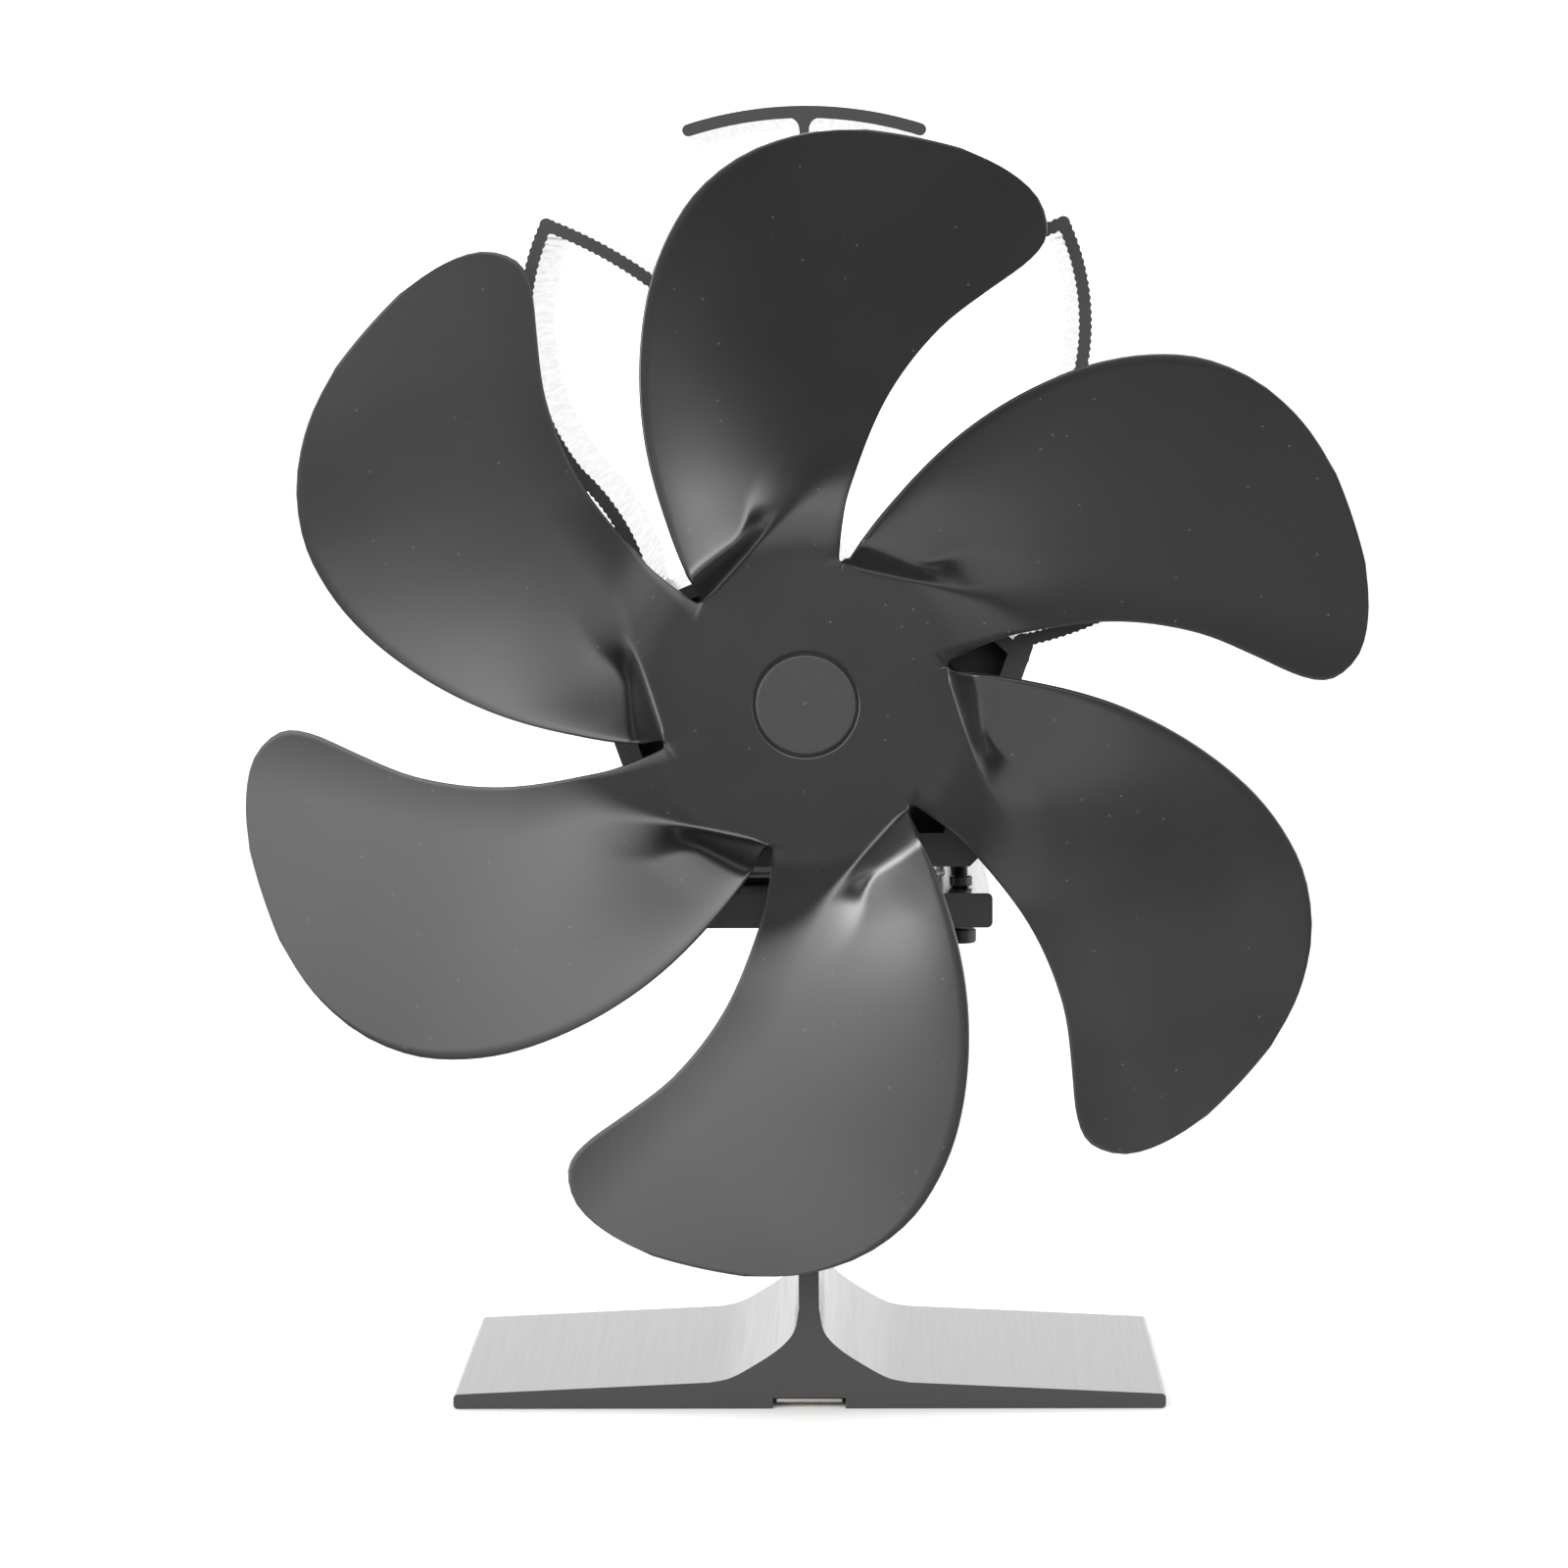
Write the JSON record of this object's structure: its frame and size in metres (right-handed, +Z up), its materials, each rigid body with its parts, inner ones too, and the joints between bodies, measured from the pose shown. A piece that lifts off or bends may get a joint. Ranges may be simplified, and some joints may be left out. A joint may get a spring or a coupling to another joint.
{
  "type": "stove fan",
  "caption": "Heat-powered stove fan: finned black body on a wide foot with a clamped thermoelectric module, a small motor and a pressed sheet wheel with curved blades.",
  "frame": {"origin": "on the standing surface, under the middle of the whole fan's bounding box", "axes": "+Z up, +X to the right as seen from the wheel's side, +Y to the back; the wheel faces -Y"},
  "size_m": [0.194, 0.0992, 0.2289],
  "materials": {
    "black_extrusion": "satin black anodised, extruded",
    "black_sheet": "satin black anodised, pressed from sheet",
    "black_steel": "blackened",
    "bright_steel": "zinc plated",
    "spring_steel": "rolled",
    "brass": "turned",
    "copper": "enamelled copper",
    "graphite": "graphite, matt",
    "ceramic": "white alumina",
    "pellet_alloy": "dull metal",
    "silicone": "cast",
    "black_plastic": "moulded",
    "light_insulation": "smooth",
    "dark_insulation": "smooth"
  },
  "bodies": {
    "body": {"base_extrusion": "black_extrusion", "heat_sink": "black_extrusion", "hot_side_pad": "graphite", "module_hot_plate": "ceramic", "module_core": "pellet_alloy", "module_seal": "silicone", "module_cold_plate": "ceramic", "cold_side_pad": "graphite", "clamp_screw_front_left": "black_steel", "clamp_washer_front_left": "bright_steel", "clamp_insulator_front_left": "black_plastic", "clamp_screw_front_right": "black_steel", "clamp_washer_front_right": "bright_steel", "clamp_insulator_front_right": "black_plastic", "clamp_screw_rear_left": "black_steel", "clamp_washer_rear_left": "bright_steel", "clamp_insulator_rear_left": "black_plastic", "clamp_screw_rear_right": "black_steel", "clamp_washer_rear_right": "bright_steel", "clamp_insulator_rear_right": "black_plastic", "motor_bracket": "black_steel", "bracket_screw_left": "bright_steel", "motor_screw_left": "black_steel", "bracket_screw_right": "bright_steel", "motor_screw_right": "black_steel", "motor_can": "bright_steel", "motor_front_bush": "brass", "motor_end_cap": "black_plastic", "motor_rear_bush": "brass", "motor_magnet_upper": "graphite", "motor_magnet_lower": "graphite", "motor_brush_left": "copper", "motor_terminal_left": "brass", "motor_brush_right": "copper", "motor_terminal_right": "brass", "lead_light": "light_insulation", "lead_dark": "dark_insulation", "strip_rivet": "bright_steel"},
    "fan": {"motor_shaft": "bright_steel", "rotor_core": "bright_steel", "rotor_winding_1": "copper", "rotor_winding_2": "copper", "rotor_winding_3": "copper", "commutator": "copper", "thrust_washer_front": "black_plastic", "thrust_washer_rear": "black_plastic", "hub_collar": "brass", "collar_set_screw": "black_steel", "fan_wheel": "black_sheet", "hub_cap": "black_plastic"},
    "bimetal": {"bimetal_strip": "spring_steel"}
  },
  "joints": [
    {"name": "fan_spin", "type": "hinge", "parent": "body", "child": "fan", "pos_m": [0, -0.03875, 0.1256], "axis": [0, 1, 0], "continuous": true},
    {"name": "bimetal_bend", "type": "hinge", "parent": "body", "child": "bimetal", "pos_m": [0, 0.03125, 0.00125], "axis": [1, 0, 0], "range_deg": [0, 3], "stiffness_Nm_per_rad": 0.6}
  ]
}
